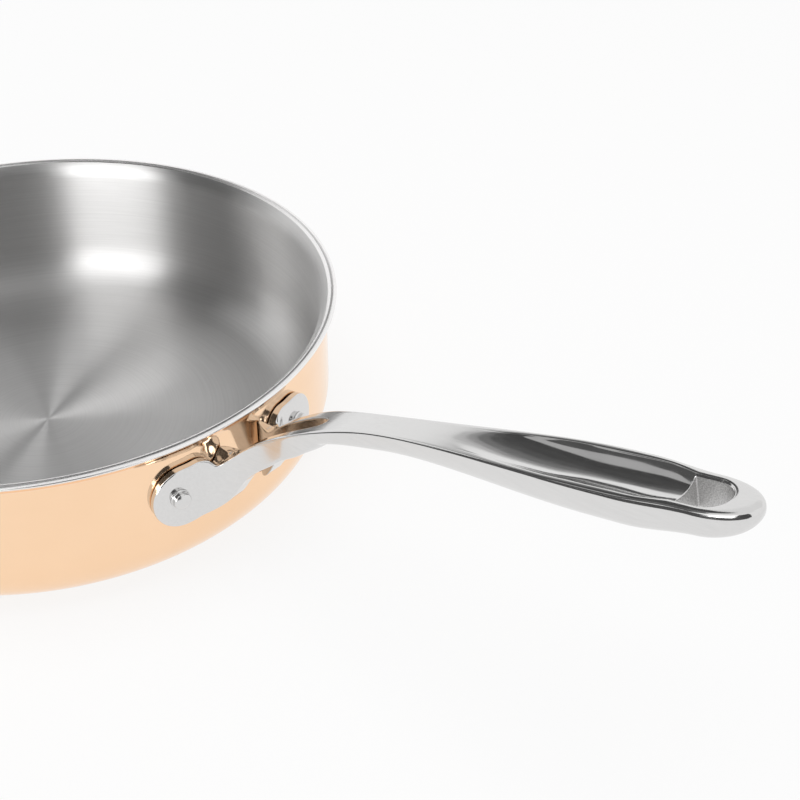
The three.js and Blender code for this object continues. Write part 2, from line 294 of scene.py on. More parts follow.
rivet_left = make_piece("rivet_left_fine", *laid_on_wall(1))
rivet_right = make_piece("rivet_right_fine", *laid_on_wall(-1))

# %% [markdown]
# ## The line of the handle
# Seen from the side, the flat top of the handle climbs steeply out of the ears and less and less towards the tip. Seen from
# above, two arms close into a thin neck, which swells into the grip and closes in a round nose. These few functions give the
# height, the width and the depth at any distance x from the pan's axis, as in the CAD model.

# %% Height, width and depth along the handle
crown_x, crown_height, crown_slope = 215, 97.6, math.tan(math.radians(16.9))
fork_run, fork_drop, fork_power = 83.8, 15.1, 3.2
tip_run, tip_drop = 85, 3
arm_x, crotch_x, neck_x, wide_x, nose_x, tip_x = 147, 160.5, 185, 270, 298.1, 315.1
narrowing_x, belly_rise_x, belly_end_x = wide_x + 6, wide_x + 8, nose_x + 5


def top_at(x):
    run = x - crown_x
    fall = fork_drop * (-run / fork_run) ** fork_power if run < 0 else tip_drop * (run / tip_run) ** 2
    return crown_height + run * crown_slope - fall


def slope_at(x):
    run = x - crown_x
    if run < 0:
        gain = fork_power * fork_drop * (-run / fork_run) ** (fork_power - 1) / fork_run
    else:
        gain = -2 * tip_drop * run / tip_run ** 2
    return math.atan(crown_slope + gain)


def half_width_at(x):
    arm_half, neck_half, grip_half, nose_half = 9.25, 6.6, 12.25, 10.2
    if x < neck_x:
        return blend_between(arm_half, neck_half, ease(x, arm_x, neck_x))
    if x < wide_x:
        return blend_between(neck_half, grip_half, ease(x, neck_x, wide_x))
    if x < nose_x:
        return blend_between(grip_half, nose_half, ease(x, narrowing_x, nose_x))
    along = min((x - nose_x) / (tip_x - nose_x), 1)
    return nose_half * math.sqrt(1 - along ** 2)


def depth_at(x):
    crotch_depth, neck_depth, grip_depth, nose_depth = 6.4, 8.1, 13, 10.7
    if x < neck_x:
        return blend_between(crotch_depth, neck_depth, ease(x, crotch_x, neck_x))
    if x < wide_x:
        return blend_between(neck_depth, grip_depth, ease(x, neck_x, wide_x))
    return blend_between(grip_depth, nose_depth, ease(x, belly_rise_x, belly_end_x))


def on_spine(x, across, down):
    slope = slope_at(x)
    return x + down * math.sin(slope), across, top_at(x) - down * math.cos(slope)


climbs = [round(math.degrees(slope_at(x))) for x in (arm_x, neck_x, wide_x)]
print("the top climbs at", climbs, "degrees at arms, neck and grip")

# %% [markdown]
# ## The thumb scoop
# The top of the grip is hollowed for the thumb. The scoop opens slowly behind the neck, and runs out into the hanging hole.
# Its rim and its depth are given for any x, like the lines above.

# %% Rim and depth of the scoop
scoop_x, scoop_end_x = 214, 305.8
scoop_half, scoop_land, scoop_depth = 9.4, 2.3, 3.4
scoop_opening, scoop_closing, scoop_deepening = 20, 28, 50
hole_half, hole_lip = 6.7, 0.45
hole_x, hole_centre_x, hole_rim = 291.8, scoop_end_x - hole_half, hole_half + hole_lip


def closing_at(x):
    return clamped((x - scoop_end_x + scoop_closing) / scoop_closing)


def scoop_rim_at(x):
    opening = clamped((scoop_x + scoop_opening - x) / scoop_opening)
    room = min(scoop_half, half_width_at(x) - scoop_land)
    rim = room * math.sqrt((1 - opening ** 2) * (1 - closing_at(x) ** 2))
    return max(rim, hole_rim) if x > wide_x else rim


def scoop_depth_at(x):
    return scoop_depth * ease(x, scoop_x, scoop_x + scoop_deepening) * math.sqrt(1 - closing_at(x) ** 2)


print("scoop is", round(2 * scoop_rim_at(wide_x), 1), "mm wide where the grip is widest")

# %% [markdown]
# Across the grip the scoop is a bowl. Two powers give its shape: one sets how flat the floor is, the other how steep the wall
# is. The bowl is soft where the thumb slides in, then square, round for a short way in the middle, and square at the hole.

# %% Bowl of the scoop
soft_bowl, round_bowl, square_bowl = (2, 1.5), (2, 0.9), (2.5, 0.75)
leaves_soft, leaves_square, turns_square = (220, 240), (250, 266), (275, 291)


def bowl_at(reach, shape):
    flatness, steepness = shape
    return max(1 - reach ** flatness, 0) ** steepness


def scoop_down(x, across):
    rim = scoop_rim_at(x)
    if across >= rim:
        return 0
    square = max(ease(x, *turns_square), 1 - ease(x, *leaves_square))
    shape = [blend_between(a, b, square) for a, b in zip(round_bowl, square_bowl)]
    reach = across / rim
    return scoop_depth_at(x) * blend_between(bowl_at(reach, soft_bowl), bowl_at(reach, shape), ease(x, *leaves_soft))


print("scoop is", round(scoop_down(wide_x, 0), 1), "mm deep there")

# %% [markdown]
# ## A section of the grip
# Only half a section is drawn, because the handle is the same on both sides. It always has the same 37 points: the scoop's
# floor and wall, its rim, the flat land, the eased edge, the flank, and the belly back to the middle. So the sections join
# into clean strips of four-sided faces, which subdivision then smooths.

# %% Rows of a section
grip_belly, nose_belly, belly_change = 0.75, 0.67, (265, 298)
grip_edge, nose_edge, edge_change = 0.85, 1.6, (245, 298)
edge_turns = [math.radians(30 * k) for k in range(4)]
belly_steps = 17
# Steps over the scoop's rim: out with its size, out by at least, and down with its size
rim_roll = ((0, 0, 0.22), (0.15, 0.01, 0.1), (0.45, 0.05, 0))


def belly_at(x):
    return blend_between(grip_belly, nose_belly, ease(x, *belly_change))


def top_edge_at(x):
    return blend_between(grip_edge, nose_edge, ease(x, *edge_change))


def rim_rows_at(rim, size):
    return [(rim + out * size + least, down * size) for out, least, down in rim_roll]


def edge_rows(half_width, edge):
    return [(half_width - edge + edge * math.sin(t), edge - edge * math.cos(t)) for t in edge_turns]


def belly_rows(half_width, depth, edge, split, belly):
    rows = []
    last = math.acos((split / half_width) ** (1 / belly))
    for k in range(1, belly_steps + 1):
        turned = last * k / belly_steps
        rows.append((half_width * math.cos(turned) ** belly, edge + (depth - edge) * math.sin(turned) ** belly))
    return rows


print("the top edge is eased by", grip_edge, "mm on the grip and", nose_edge, "mm on the nose")

# %% [markdown]
# The rows are now put together. Before the scoop opens, its rows lie flat on the top, so that the count stays the same.

# %% Half a section of the grip
crisp_x, rim_grows = 228, (218, 245)
floor_steps, floor_share, floor_widens = 5, 0.82, (255, 289)
wall_marks = (0.45, 0.8)


def grip_section(x):
    half_width, depth, edge, belly = half_width_at(x), depth_at(x), top_edge_at(x), belly_at(x)
    rim = scoop_rim_at(x) if x > crisp_x else scoop_rim_at(crisp_x) * half_width / half_width_at(crisp_x)
    split = rim * blend_between(floor_share, hole_half / scoop_rim_at(hole_x), ease(x, *floor_widens))
    reaches = [split * k / floor_steps for k in range(floor_steps + 1)]
    reaches += [blend_between(split, rim, share) for share in wall_marks]
    rows = [(across, scoop_down(x, across)) for across in reaches]
    rows += rim_rows_at(rim, ease(x, *rim_grows))
    rows += edge_rows(half_width, edge)
    rows += belly_rows(half_width, depth, edge, split, belly)
    for k in range(1, floor_steps + 1):
        across = split * (1 - k / floor_steps)
        under = max(1 - (across / half_width) ** (2 / belly), 0) ** (belly / 2)
        rows.append((across, edge + (depth - edge) * under))
    return rows


print("a half section has", len(grip_section(wide_x)), "points")

# %% [markdown]
# ## A cage of strips
# The sections become rings of point numbers, and strips of faces run between them. The cage starts at the crotch of the
# fork and runs out along the grip to the straight wall of the hanging hole. Each strip has the number of its finish:
# polished, cast, or the fork's inside, which is darkened with painted shade.

# %% Cage of the neck and grip
cage_points, cage_faces = [], []
# the third finish number is the fork's inner faces, whose darker tone is painted shade
polished, cast, shaded_inside = 0, 1, 2
LAST_ROW, WIDEST_ROW = 36, 14
root_x = crotch_x + 1
grip_steps, hole_edge_steps = 64, (0.8, 0.35, 0)


def add_point(point):
    cage_points.append(point)
    return len(cage_points) - 1


def add_strip(first, second, finish_number=polished):
    for k in range(len(first) - 1):
        cage_faces.append(([first[k], first[k + 1], second[k + 1], second[k]], finish_number))


grip_end_x = hole_x - hole_edge_steps[0]
grip_stations = [blend_between(root_x, grip_end_x, k / grip_steps) for k in range(grip_steps)]
grip_stations += [hole_x - before for before in hole_edge_steps]
grip_rings = []
for x in grip_stations:
    grip_rings.append([add_point(on_spine(x, across, down)) for across, down in grip_section(x)])
for first, second in zip(grip_rings, grip_rings[1:]):
    add_strip(first, second)
print("the grip has", len(grip_rings), "sections")

# %% [markdown]
# ## The hanging hole and the nose
# The hole is a D: straight across the grip on the pan's side and round at the tip. Round it the sections no longer reach the
# middle, but end at the hole's wall. They run straight along the hole first, and then swing round its centre like the
# spokes of a fan, out to the nose.

# %% Section along a spoke
tip_edge = 1.8
lead_depth, lead_end, lead_power = 0.75, 0.22, 1.4


# Halves the distance again and again, until it ends on the outline
def nose_reach(base_x, angle):
    near, far, halvings = hole_half, 30, 40
    for _ in range(halvings):
        middle = (near + far) / 2
        x = base_x + middle * math.cos(angle)
        inside = x < tip_x and middle * math.sin(angle) < half_width_at(x)
        near, far = (middle, far) if inside else (near, middle)
    return near


def spoke_rows(base_x, angle):
    turned_in = math.sin(angle)
    outline = nose_reach(base_x, angle)
    edge = blend_between(tip_edge, top_edge_at(base_x), turned_in)
    rim = blend_between(hole_rim, scoop_rim_at(base_x), turned_in)
    belly = blend_between(1, belly_at(base_x), turned_in)
    deep = blend_between(scoop_down(hole_x, hole_half), lead_depth, ease(base_x, hole_x, hole_centre_x))
    rows = []
    for share in (0, *wall_marks):
        rows.append((blend_between(hole_half, rim, share), blend_between(deep, lead_end, share ** lead_power)))
    rows += rim_rows_at(rim, 1)
    rows += edge_rows(outline, edge)
    rows += belly_rows(outline, depth_at(base_x), edge, hole_half, belly)
    return rows


print("the nose ends", round(nose_reach(hole_centre_x, 0), 1), "mm from the hole's centre")

# %% [markdown]
# The hole's own wall runs straight down from the scoop to the belly. It is left as it came out of the mould, so its strips
# get the number of the cast finish.

# %% Cage of the hole and nose
wall_shares = (0.05, 0.15, 0.33, 0.5, 0.67, 0.85, 0.95)
straight_shares, fan_steps = (0.05, 0.25, 0.5, 0.75, 1), 18


def wall_column_between(upper, lower):
    ends = cage_points[upper], cage_points[lower]
    places = [tuple(blend_between(a, b, share) for a, b in zip(*ends)) for share in wall_shares]
    return [upper] + [add_point(place) for place in places] + [lower]


last_ring = grip_rings[-1]
columns = [wall_column_between(last_ring[k], last_ring[LAST_ROW - k]) for k in range(floor_steps + 1)]
for first, second in zip(columns, columns[1:]):
    add_strip(first, second, cast)

spokes = [(blend_between(hole_x, hole_centre_x, share), math.pi / 2) for share in straight_shares]
spokes += [(hole_centre_x, math.pi / 2 * (1 - k / fan_steps)) for k in range(1, fan_steps + 1)]
outer_ring, wall_column = last_ring[floor_steps:LAST_ROW - floor_steps + 1], columns[-1]
for base_x, angle in spokes:
    ring = [add_point(on_spine(base_x + reach * math.cos(angle), reach * math.sin(angle), down))
            for reach, down in spoke_rows(base_x, angle)]
    column = wall_column_between(ring[0], ring[-1])
    add_strip(outer_ring, ring)
    add_strip(wall_column, column, cast)
    outer_ring, wall_column = ring, column
print("the nose has", len(spokes), "spokes")

# %% [markdown]
# ## The fork
# In the fork a section is a closed ring, because each arm has an inner face too. At the crotch the ring's inner face lies on
# the middle plane, and its other points are those of the first section of the grip, so the arm grows out of the neck without
# a seam. Towards the ear the section changes from the grip's round belly to an upright bar with eased edges.

# %% Section of an arm
top_steps, side_steps, inner_steps = 11, 8, 4
inner_softness = 0.3


def bar_rows(width, depth, edge, inner_edge):
    rows = [(blend_between(inner_edge, width - edge, k / top_steps), 0) for k in range(top_steps)]
    rows += edge_rows(width, edge)
    rows += [(width, blend_between(edge, depth - edge, k / side_steps)) for k in range(1, side_steps)]
    rows += [(width - edge + edge * math.cos(t), depth - edge + edge * math.sin(t)) for t in edge_turns]
    rows += [(blend_between(width - edge, inner_edge, k / top_steps), depth) for k in range(1, top_steps + 1)]
    return rows


def inner_rows(depth, inner_edge):
    soft = inner_softness * inner_edge
    face = [(0, blend_between(depth - inner_edge, inner_edge, k / inner_steps)) for k in range(inner_steps + 1)]
    return [(soft, depth - soft)] + face + [(soft, soft)]


def on_curve(curve, t):
    line = [Vector(p) for p in curve]
    while len(line) > 1:
        if len(line) == 2:
            heading = (line[1] - line[0]).normalized()
        line = [a.lerp(b, t) for a, b in zip(line, line[1:])]
    return line[0], heading


def arm_ring(inner, into_metal, outer, depth, upright_share, shape_share, edge, inner_edge):
    width = (outer - inner).length
    half = grip_section(root_x)
    scale_across, scale_down = width / half[WIDEST_ROW][0], depth / half[LAST_ROW][1]
    bars = [(blend_between(a * scale_across, b, shape_share), blend_between(d * scale_down, e, shape_share))
            for (a, d), (b, e) in zip(half, bar_rows(width, depth, edge, inner_edge))]
    first, eased = inner + into_metal * inner_edge, inner_edge * shape_share
    ring = []
    for number, (across, down) in enumerate(bars + inner_rows(depth, inner_edge)):
        plan = inner + into_metal * across
        if number <= LAST_ROW:
            plan = first.lerp(outer, clamped((across - eased) / (width - eased)))
        slope = slope_at(plan.x) * (1 - upright_share)
        ring.append((plan.x + down * math.sin(slope), plan.y, top_at(plan.x) - down * math.cos(slope)))
    return ring


print("an arm's ring has", LAST_ROW + 1 + len(inner_rows(1, 0)), "points")

# %% [markdown]
# The gap between the arms is a slot with a round end. It is drawn as a curve that starts level with the arms and ends square
# to the middle plane. Each section of the arm joins a point of this curve with a point of the outer side.

# %% Cage of the arms
half_gap, gap_steps = 4.75, 18
gap_curve = [(arm_x, half_gap), (154, half_gap), (crotch_x, 3.2), (crotch_x, 0)]
crotch_edge, arm_edge, arm_inner_edge = 1.0, 0.8, 0.6
arm_depth, bar_share = 10.5, 0.7

crotch_depth = depth_at(crotch_x)
crotch_rows = inner_rows(crotch_depth, crotch_edge)
crotch_face = [add_point(on_spine(crotch_x + across, 0, down)) for across, down in crotch_rows]
arm_rings = [grip_rings[0] + crotch_face]
for k in range(1, gap_steps + 1):
    along = k / gap_steps
    inner, heading = on_curve(gap_curve, 1 - along)
    x = blend_between(root_x, arm_x, along)
    share = ease(along, 0, bar_share)
    ring = arm_ring(
        inner,
        into_metal=Vector((-heading.y, heading.x)),
        outer=Vector((x, half_width_at(x))),
        depth=blend_between(crotch_depth, arm_depth, along),
        upright_share=ease(along, 0, 1),
        shape_share=share,
        edge=blend_between(top_edge_at(root_x), arm_edge, share),
        inner_edge=blend_between(crotch_edge, arm_inner_edge, share),
    )
    arm_rings.append([add_point(p) for p in ring])
print("an arm has", len(arm_rings), "sections so far")

# %% [markdown]
# ## The bend
# At the wall each arm turns sideways and becomes a flat ear that lies on the copper. The ear's top stands above the arm's
# outer edge, which leaves a shallow notch between them. Near the fork's gap the notch fills up, because there the arm's root
# is as high as the ears. A softened maximum joins such heights without a crease.

# %% Top of the bend
rivet_offset = 1.9
ear_height, ear_spread, ear_radius = 39.9, rivet_spread - rivet_offset / wall_radius, 12.2
ear_along, ear_edge, ear_inner_edge = 6.0, 0.7, 0.3
ear_corner_up, ear_corner_radius, ear_fall = 4.2, 8, 1.5
arm_dip, arm_dip_ends = 0.9, (121, 138)
root_end_x, root_fall, root_sides = 124, 0.8, (10, 14.5)
notch_softness, root_softness = 3.2, 1


def on_ear(along, up, back):
    turned = ear_spread - along / ear_face
    reach = ear_face - back
    return reach * math.cos(turned), reach * math.sin(turned), ear_height + up


def soft_max(first, second, softness):
    return (first + second + math.hypot(first - second, softness)) / 2


def crest_at(plan):
    along = (ear_spread - math.atan2(plan.y, plan.x)) * ear_face
    beyond = min(max(along - ear_along, 0), ear_corner_radius)
    ear_top = ear_height + ear_corner_up + math.sqrt(ear_corner_radius ** 2 - beyond ** 2)
    ear_top -= ear_fall * max(plan.length - ear_face, 0)
    arm_top = top_at(plan.x) - arm_dip * (1 - ease(plan.x, *arm_dip_ends))
    crest = soft_max(arm_top, ear_top, notch_softness)
    root_top = ear_height + ear_radius - root_fall * max(plan.x - root_end_x, 0)
    level = soft_max(crest, root_top, root_softness)
    return blend_between(crest, level, 1 - ease(plan.y, *root_sides))


ear_front = Vector(on_ear(ear_along, 0, 0)[:2])
print("the ear's front is at", [round(v, 1) for v in ear_front], "and its top there at", round(crest_at(ear_front), 1))

# %% [markdown]
# The underside has one height for each x, on both faces of the arm. It is flat under the ear and then climbs to the arm. A
# smooth line runs through a few marks that were read from the side view.

# %% Underside of the bend
underside = [
    (110, 28.3), (115, 28.3), (ear_front.x, 28.3), (120.7, 28.7), (122.5, 30.1), (125.7, 33.9), (128, 38),
    (130, 41.8), (134.8, 47.6), (142.8, 54.7), (arm_x, top_at(arm_x) - arm_depth), (155, 66.2),
]


def underside_at(x):
    k = max(i for i in range(1, len(underside) - 1) if underside[i][0] <= x or i == 1)
    k = min(k, len(underside) - 3)
    (x0, z0), (x1, z1), (x2, z2), (x3, z3) = underside[k - 1:k + 3]
    span, share = x2 - x1, (x - x1) / (x2 - x1)
    rise1, rise2 = (z2 - z0) / (x2 - x0) * span, (z3 - z1) / (x3 - x1) * span
    s2, s3 = share ** 2, share ** 3
    height = (2 * s3 - 3 * s2 + 1) * z1 + (3 * s2 - 2 * s3) * z2
    return height + (s3 - 2 * s2 + share) * rise1 + (s3 - s2) * rise2


print("the underside climbs to", round(underside_at(130), 1), "mm at x = 130 mm")

# %% [markdown]
# Seen from above, the outside of the bend sweeps round as a weighted curve between the two straight directions. The inside
# closes in on the wall and turns there on a sharp heel.

# %% Plan of the bend
ear_turn = ear_spread - ear_along / ear_face
arm_half = half_width_at(arm_x)
elbow = Vector((ear_front.x + (ear_front.y - arm_half) * math.tan(ear_turn), arm_half))
elbow_pull = 1.1
heel_half, heel_share, heel_bend_x = 9.3, 0.62, 123


def outside_at(along):
    shares = ((1 - along) ** 2, 2 * elbow_pull * along * (1 - along), along ** 2)
    places = (Vector((arm_x, arm_half)), elbow, ear_front)
    return sum((place * share for place, share in zip(places, shares)), Vector((0, 0))) / sum(shares)


def inside_at(along):
    reach = wall_radius + fit_gap + wall_gap
    heel_turn = math.asin(heel_half / reach)
    if along > heel_share:
        turned = blend_between(heel_turn, ear_turn, (along - heel_share) / (1 - heel_share))
        return Vector((reach * math.cos(turned), reach * math.sin(turned)))
    heel = (reach * math.cos(heel_turn), heel_half)
    return on_curve([(arm_x, half_gap), (heel_bend_x, half_gap), heel], along / heel_share)[0]


print("elbow of the bend at", [round(v, 1) for v in elbow])

# %% [markdown]
# Each section of the bend runs from the inside to the outside, between the top and the underside. The sections stand closer
# together at the heel, so that it stays sharp after smoothing.

# %% Cage of the bend
arm_stations, ear_stations, heel_crease = 12, 8, 0.012


def bend_ring(along):
    share = ease(along, 0, 1)
    edge = blend_between(arm_edge, ear_edge, share)
    inner_edge = blend_between(arm_inner_edge, ear_inner_edge, share)
    inner, outer = inside_at(along), outside_at(along)
    width, depth = (outer - inner).length, crest_at(outer) - underside_at(outer.x)
    ring = []
    for across, down in bar_rows(width, depth, edge, inner_edge) + inner_rows(depth, inner_edge):
        plan = inner.lerp(outer, across / width)
        ring.append((plan.x, plan.y, blend_between(crest_at(plan), underside_at(plan.x), down / depth)))
    return ring


bend_stations = [heel_share * k / arm_stations for k in range(1, arm_stations)]
bend_stations += [heel_share - heel_crease, heel_share, heel_share + heel_crease]
bend_stations += [blend_between(heel_share, 1, k / ear_stations) for k in range(1, ear_stations + 1)]
for along in bend_stations:
    arm_rings.append([add_point(p) for p in bend_ring(along)])
print("the bend has", len(bend_stations), "sections")

# %% [markdown]
# ## The ears
# The ear is a flat tongue with a round end. Its outline is drawn in three lines: the top, the underside and the end. Each
# gives a place and the direction that points out of the metal there, so that the outline can be stepped in.

# %% Outline of an ear
ear_steps = 9
corner_turn = math.radians(135)
outline_run = ear_along + ear_radius * (corner_turn - math.pi / 2)
bottom_rise = 0.6 / ear_along ** 2


def round_end(turned):
    normal = Vector((math.cos(turned), math.sin(turned)))
    return normal * ear_radius, normal


def ear_outline_top(share):
    run = share * outline_run
    if run < ear_along:
        return Vector((ear_along - run, ear_radius)), Vector((0, 1))
    return round_end(math.pi / 2 + (run - ear_along) / ear_radius)


def ear_outline_bottom(share):
    run = share * outline_run
    if run < ear_along:
        along = ear_along - run
        place = Vector((along, bottom_rise * along ** 2 - ear_radius))
        return place, Vector((2 * bottom_rise * along, -1)).normalized()
    return round_end(-math.pi / 2 - (run - ear_along) / ear_radius)


def ear_outline_end(share):
    return round_end(corner_turn + share * (2 * math.pi - 2 * corner_turn))


print("top line of the ear is", round(outline_run, 1), "mm long")

# %% [markdown]
# The ear's face is a patch between four lines: the last section of the bend, the top, the underside, and the end. A Coons
# patch fills it: it blends the two pairs of lines and takes away what was counted twice.

# %% Face of an ear
def stepped_in(outline, share, inset):
    place, normal = outline(share)
    return place - normal * inset


def ear_patch(s, t, inset):
    top, bottom = stepped_in(ear_outline_top, s, inset), stepped_in(ear_outline_bottom, s, inset)
    end = stepped_in(ear_outline_end, t, inset)
    start_top, start_bottom = stepped_in(ear_outline_top, 0, inset), stepped_in(ear_outline_bottom, 0, inset)
    end_top, end_bottom = stepped_in(ear_outline_end, 0, inset), stepped_in(ear_outline_end, 1, inset)
    start = start_top.lerp(start_bottom, t)
    corners = start.lerp(end_top.lerp(end_bottom, t), s)
    return start.lerp(end, s) + top.lerp(bottom, t) - corners


print("middle of the ear's face at", [round(v, 1) for v in on_ear(*ear_patch(0.5, 0.5, ear_edge), 0)])

# %% [markdown]
# The same outline, stepped in by a little at each depth, gives the eased edge all round. The rings of the ear follow
# those of the bend, and then all rings of the arm are joined: the outside is polished, and the fork's inside gets the
# darker finish of painted shade. The round end closes the ear with rows of its own.

# %% Cage of the ears
def edge_step(number):
    if number < top_steps:
        return 0, blend_between(ear_thickness - ear_inner_edge, ear_edge, number / top_steps)
    turned = edge_turns[number - top_steps]
    return ear_edge - ear_edge * math.cos(turned), ear_edge - ear_edge * math.sin(turned)


edge_steps = [edge_step(number) for number in range(WIDEST_ROW + 1)]


def edge_line(outline, share):
    return [on_ear(*stepped_in(outline, share, inset), back) for inset, back in edge_steps]


def face_line(s, inset, back):
    return [on_ear(*ear_patch(s, step / side_steps, inset), back) for step in range(1, side_steps)]


for k in range(1, ear_steps + 1):
    s = k / ear_steps
    ring = edge_line(ear_outline_top, s) + face_line(s, ear_edge, 0)
    ring += edge_line(ear_outline_bottom, s)[::-1] + face_line(s, ear_inner_edge, ear_thickness)[::-1]
    arm_rings.append([add_point(p) for p in ring])
for first, second in zip(arm_rings, arm_rings[1:]):
    add_strip(first[:LAST_ROW + 1], second[:LAST_ROW + 1])
    # the fork's inner faces take the finish with painted shade
    add_strip(first[LAST_ROW:] + first[:1], second[LAST_ROW:] + second[:1], shaded_inside)

end_ring = arm_rings[-1]
end_rows = []
for number, (inset, back) in enumerate(edge_steps):
    row = [end_ring[number]]
    for step in range(1, side_steps):
        if number == WIDEST_ROW:
            row.append(end_ring[WIDEST_ROW + step])
        elif number == 0:
            row.append(end_ring[-step])
        else:
            row.append(add_point(on_ear(*stepped_in(ear_outline_end, step / side_steps, inset), back)))
    end_rows.append(row + [end_ring[LAST_ROW - number]])
for first, second in zip(end_rows, end_rows[1:]):
    add_strip(first, second)
print("the half cage has", len(cage_points), "points and", len(cage_faces), "faces")

# %% [markdown]
# ## The handle in one piece
# The half cage is mirrored across the middle plane and welded there, so the handle is one closed casting. One level of
# subdivision rounds what the cage leaves between its points.

# %% Make the handle
handle = make_piece("handle_fine", cage_points, cage_faces, mirrored=True)
smoothing = handle.modifiers.new("smooth casting", "SUBSURF")
smoothing.levels = 1
smoothing.render_levels = 1

# %% [markdown]
# ## Finishes
# Every surface here is bare metal, so each finish is one metallic shader. What tells them apart is the colour, the gloss, and
# the marks that rolling, brushing, polishing or casting left. A material is a tree of nodes, so the first helper adds a node,
# sets its values and leads the outputs of other nodes into it.

# %% Helpers for a metal
def add_node(tree, kind, values=None, sources=None, **settings):
    node = tree.nodes.new("ShaderNode" + kind)
    for name, setting in settings.items():
        setattr(node, name, setting)
    for socket, value in (values or {}).items():
        node.inputs[socket].default_value = value
    for socket, source in (sources or {}).items():
        tree.links.new(source, node.inputs[socket])
    return node


def new_material(name, values):
    material = bpy.data.materials.new(name)
    material.use_nodes = True
    for socket, value in values.items():
        material.node_tree.nodes["Principled BSDF"].inputs[socket].default_value = value
    return material


def new_metal(name, colour, roughness, **values):
    metal = new_material(name, {"Base Color": (*colour, 1), "Metallic": 1, "Roughness": roughness, **values})
    metal.diffuse_color = (*colour, 1)
    return metal


print("helpers for a metal ready")

# %% [markdown]
# The marks are noise, stretched along the way the tool went. On the pan they run in thin rings about the axis: that noise is
# fast across the radius and the height, and slow round the pan.

# %% Helpers for marks
def stretched_noise(metal, stretch, detail):
    tree = metal.node_tree
    where = add_node(tree, "TexCoord").outputs["Object"]
    mapping = add_node(tree, "Mapping", {"Scale": stretch}, {"Vector": where})
    noise = add_node(tree, "TexNoise", {"Scale": 1, "Detail": detail}, {"Vector": mapping.outputs["Vector"]})
    return noise.outputs["Fac"]


def ringed_noise(metal, rings, along, detail):
    tree = metal.node_tree
    where = add_node(tree, "TexCoord").outputs["Object"]
    x, y, z = add_node(tree, "SeparateXYZ", sources={"Vector": where}).outputs
    flat = add_node(tree, "CombineXYZ", sources={"X": x, "Y": y})
    radius = add_node(tree, "VectorMath", sources={0: flat.outputs["Vector"]}, operation="LENGTH").outputs["Value"]
    scaled = []
    for source, scale in ((x, along), (y, along), (radius, rings), (z, rings)):
        scaled.append(add_node(tree, "Math", {1: scale}, {0: source}, operation="MULTIPLY").outputs["Value"])
    *place, height = scaled
    vector = add_node(tree, "CombineXYZ", sources=dict(zip("XYZ", place)))
    noise = add_node(tree, "TexNoise", {"Scale": 1, "Detail": detail},
                     {"Vector": vector.outputs["Vector"], "W": height}, noise_dimensions="4D")
    return noise.outputs["Fac"]


print("helpers for marks ready")

# %% [markdown]
# Marks change three things on a real surface: how dull it is, its tone, and its relief. A helper for each leads the noise to
# one input of the shader. Noise keeps near its middle, so its inner part is spread over the whole span.

# %% Helpers that use the marks
noise_low, noise_high = 0.3, 0.7
polish_depth = 0.000001


def spread(metal, marks, low, high):
    values = {"From Min": noise_low, "From Max": noise_high, "To Min": low, "To Max": high}
    return add_node(metal.node_tree, "MapRange", values, {"Value": marks}).outputs["Result"]


def lead_to_shader(metal, source, socket):
    metal.node_tree.links.new(source, metal.node_tree.nodes["Principled BSDF"].inputs[socket])


def dull(metal, marks, low, high):
    lead_to_shader(metal, spread(metal, marks, low, high), "Roughness")


def tint(metal, marks, first, second):
    tones = {"A": (*first, 1), "B": (*second, 1)}
    mix = add_node(metal.node_tree, "Mix", tones, {"Factor": spread(metal, marks, 0, 1)}, data_type="RGBA")
    lead_to_shader(metal, mix.outputs["Result"], "Base Color")


def carve(metal, marks, depth):
    bump = add_node(metal.node_tree, "Bump", {"Strength": 1, "Distance": depth}, {"Height": marks})
    lead_to_shader(metal, bump.outputs["Normal"], "Normal")


print("polishing marks are", polish_depth / MM, "mm deep")

# %% [markdown]
# The copper is polished on a wheel while it spins. It mirrors the white studio almost cleanly, with a faint haze in rings and
# a slight change of tone, because copper darkens unevenly in air.

# %% Polished copper
copper = new_metal("polished_copper", (0.97, 0.69, 0.47), 0.1)
tint(copper, stretched_noise(copper, (25, 25, 25), 3), (0.98, 0.70, 0.475), (0.955, 0.665, 0.44))
haze = ringed_noise(copper, 900, 30, 4)
dull(copper, haze, 0.07, 0.13)
carve(copper, haze, polish_depth)
print("copper roughness runs from 0.07 to 0.13")

# %% [markdown]
# The lining is brushed round the axis. Brushing makes fine grooves, so light is spread across them and hardly along them:
# that gives the bright fan on the floor of the pan. The shader's anisotropy does this. Its tangent runs round the axis, and
# is turned by a quarter so that the spread is across the grooves.

# %% Brushed lining
groove_depth = 0.0000015
brushing = {"Anisotropic": 1, "Anisotropic Rotation": 0.25}
brushed = new_metal("brushed_steel_lining", (0.69, 0.685, 0.68), 0.38, **brushing)
tangent = add_node(brushed.node_tree, "Tangent", direction_type="RADIAL", axis="Z")
lead_to_shader(brushed, tangent.outputs["Tangent"], "Tangent")
grooves = ringed_noise(brushed, 1600, 25, 5)
dull(brushed, grooves, 0.35, 0.41)
tint(brushed, grooves, (0.66, 0.655, 0.65), (0.72, 0.715, 0.71))
carve(brushed, grooves, groove_depth)
print("lining grooves are about 0.6 mm apart")

# %% [markdown]
# The rim was turned over and then ground and buffed on its own, so it is glossier than the lining. Its tone is set
# brighter than the rest of the steel, as a painted highlight.

# %% Ground rim with painted highlight
# painted highlight: the rim's steel is set brighter than the lining's and the handle's steel
ground_rim_painted_highlight = new_metal("ground_rim_painted_highlight", (0.9, 0.89, 0.885), 0.25)
buffing = ringed_noise(ground_rim_painted_highlight, 2500, 60, 4)
dull(ground_rim_painted_highlight, buffing, 0.2, 0.32)
tint(ground_rim_painted_highlight, buffing, (0.86, 0.85, 0.845), (0.93, 0.92, 0.915))
carve(ground_rim_painted_highlight, buffing, polish_depth)
print("rim roughness runs from 0.2 to 0.32")

# %% [markdown]
# The handle is cast and then polished on a belt that runs along it, so its haze is drawn out along the grip.

